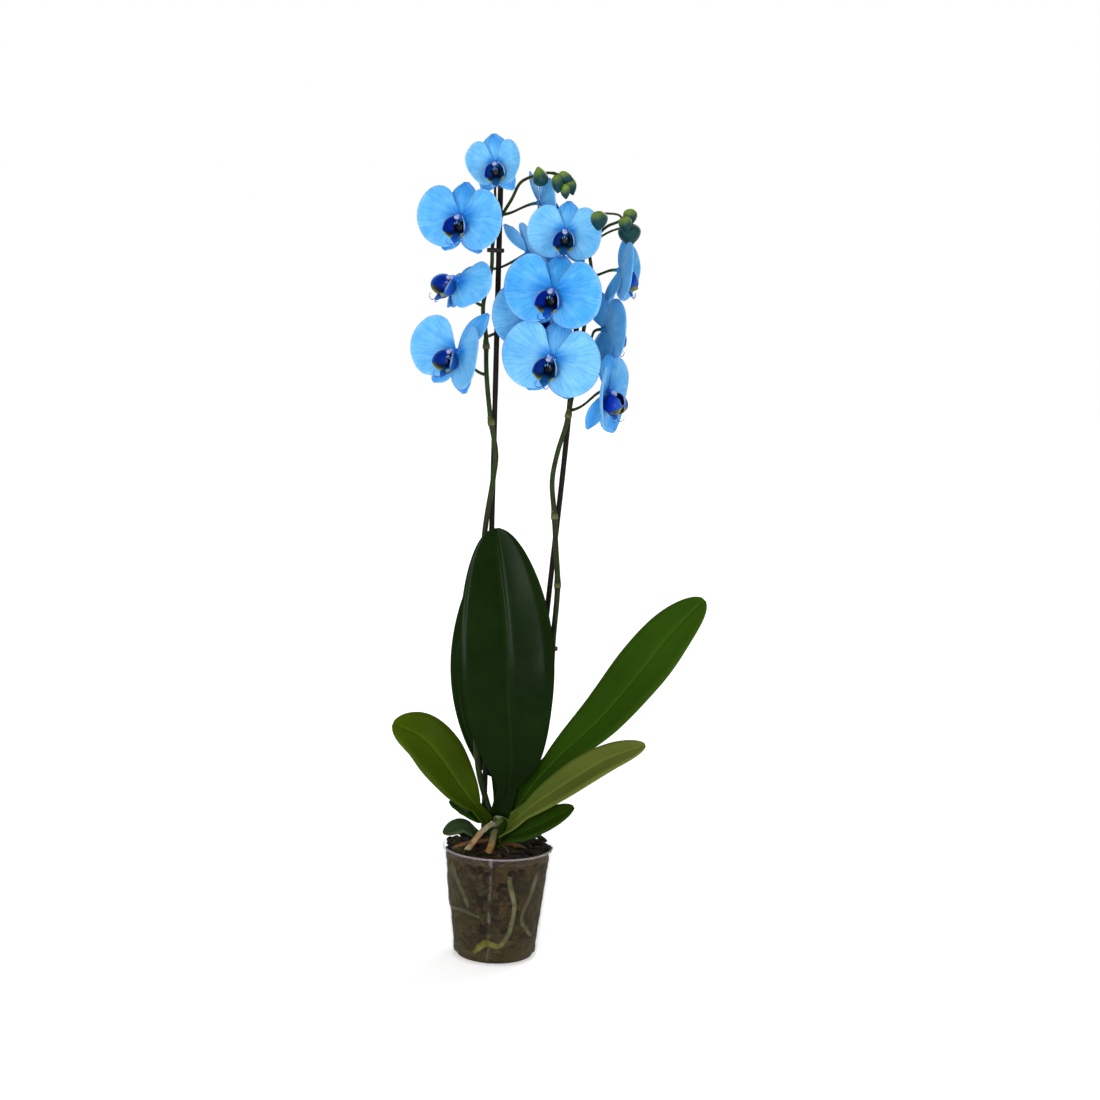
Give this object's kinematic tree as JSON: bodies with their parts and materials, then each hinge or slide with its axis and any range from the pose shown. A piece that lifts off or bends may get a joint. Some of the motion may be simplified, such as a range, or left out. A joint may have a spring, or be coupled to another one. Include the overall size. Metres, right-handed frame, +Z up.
{
  "type": "moth orchid in clear pot",
  "caption": "Potted moth orchid with two staked flower spikes of blue blooms above broad strap leaves, in a clear round nursery pot filled with bark.",
  "frame": {"origin": "middle of the pot's foot, on the surface it stands on", "axes": "+Z up, -Y towards the viewer that most of the blooms face, +X to that viewer's right"},
  "size_m": [0.327, 0.1879, 0.8689],
  "materials": {
    "clear_plastic": "glossy",
    "bark": "matte",
    "root": "matte",
    "leaf": "satin",
    "stem": "satin",
    "stake": "matte",
    "clip": "satin",
    "petal": "matte",
    "lip": "satin",
    "column": "satin"
  },
  "bodies": {
    "root": {"pot": "clear_plastic", "bark_mix": "bark", "crown_with_roots": "root", "leaf_1_upright": "leaf", "leaf_2_rear": "leaf", "leaf_3_long_right": "leaf", "leaf_4_low_right": "leaf", "leaf_5_small_right": "leaf", "leaf_6_left": "leaf", "leaf_7_old_left": "leaf", "leaf_8_low_left": "leaf", "spike_left": "stem", "stake_left": "stake", "spike_right": "stem", "stake_right": "stake", "clip_left_low": "clip", "clip_left_high": "clip", "clip_right_low": "clip", "clip_right_high": "clip", "bloom_left_1_petals": "petal", "bloom_left_1_lip": "lip", "bloom_left_1_column": "column", "bloom_left_2_petals": "petal", "bloom_left_2_lip": "lip", "bloom_left_2_column": "column", "bloom_left_3_petals": "petal", "bloom_left_3_lip": "lip", "bloom_left_3_column": "column", "bloom_left_4_petals": "petal", "bloom_left_4_lip": "lip", "bloom_left_4_column": "column", "bloom_left_5_petals": "petal", "bloom_left_5_lip": "lip", "bloom_left_5_column": "column", "bloom_left_6_petals": "petal", "bloom_left_6_lip": "lip", "bloom_left_6_column": "column", "bloom_left_7_petals": "petal", "bloom_left_7_lip": "lip", "bloom_left_7_column": "column", "bloom_right_1_petals": "petal", "bloom_right_1_lip": "lip", "bloom_right_1_column": "column", "bloom_right_2_petals": "petal", "bloom_right_2_lip": "lip", "bloom_right_2_column": "column", "bloom_right_3_petals": "petal", "bloom_right_3_lip": "lip", "bloom_right_3_column": "column", "bloom_right_4_petals": "petal", "bloom_right_4_lip": "lip", "bloom_right_4_column": "column", "bloom_right_5_petals": "petal", "bloom_right_5_lip": "lip", "bloom_right_5_column": "column", "bloom_right_6_petals": "petal", "bloom_right_6_lip": "lip", "bloom_right_6_column": "column"}
  },
  "joints": []
}
